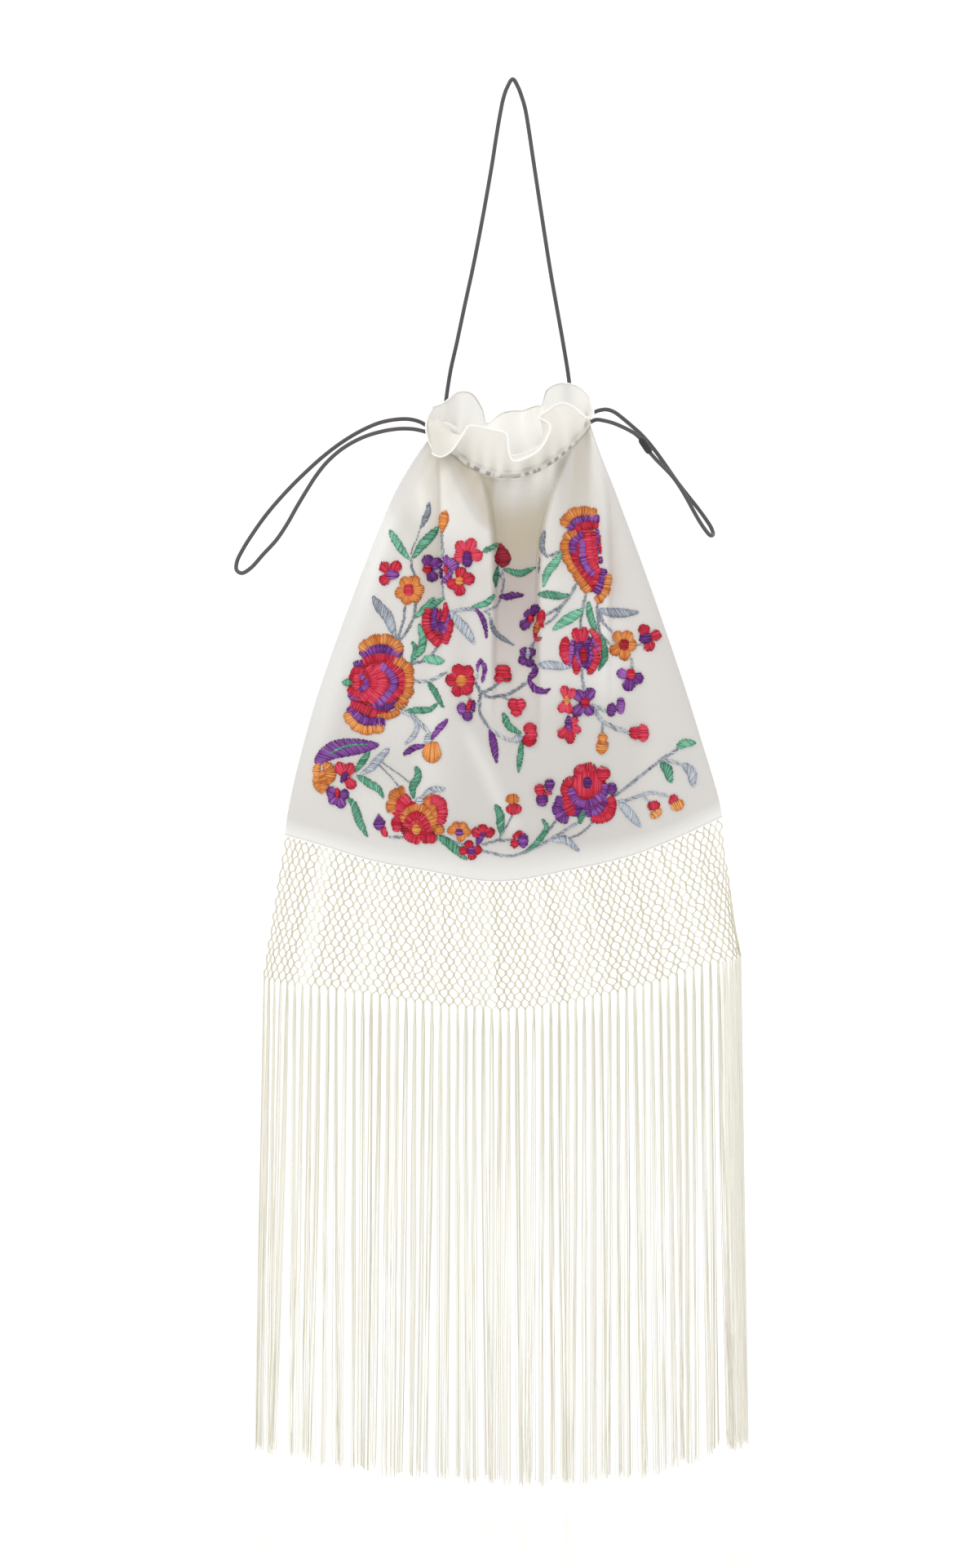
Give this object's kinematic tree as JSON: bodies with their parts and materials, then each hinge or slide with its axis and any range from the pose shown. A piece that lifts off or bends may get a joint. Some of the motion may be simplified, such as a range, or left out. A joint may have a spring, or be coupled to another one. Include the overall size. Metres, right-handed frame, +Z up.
{
  "type": "fringed drawstring bag",
  "caption": "Silk drawstring pouch with a ruffled mouth, embroidered front, thin cord handle, and a knotted net and long fringe below its bottom seam.",
  "frame": {"origin": "underside of the handle's top bend, where the bag hangs from a hook or a hand", "axes": "+Z up, +X to the right as seen from the embroidered front, front towards -Y"},
  "size_m": [0.2653, 0.0723, 0.7403],
  "materials": {
    "silk": "ivory woven silk, soft sheen",
    "fringe_silk": "ivory twisted silk thread",
    "cord": "dark grey round braided cord, matt",
    "splice": "black thread binding, matt"
  },
  "bodies": {
    "root": {"front_panel": "silk", "back_panel": "silk", "ruffle": "silk", "drawcord_front": "cord", "drawcord_back": "cord", "drawcord_left_loop": "cord", "drawcord_right_loop": "cord", "drawcord_right_end": "cord", "cord_splice": "splice", "handle_cord": "cord", "net": "fringe_silk", "fringe": "fringe_silk"}
  },
  "joints": []
}
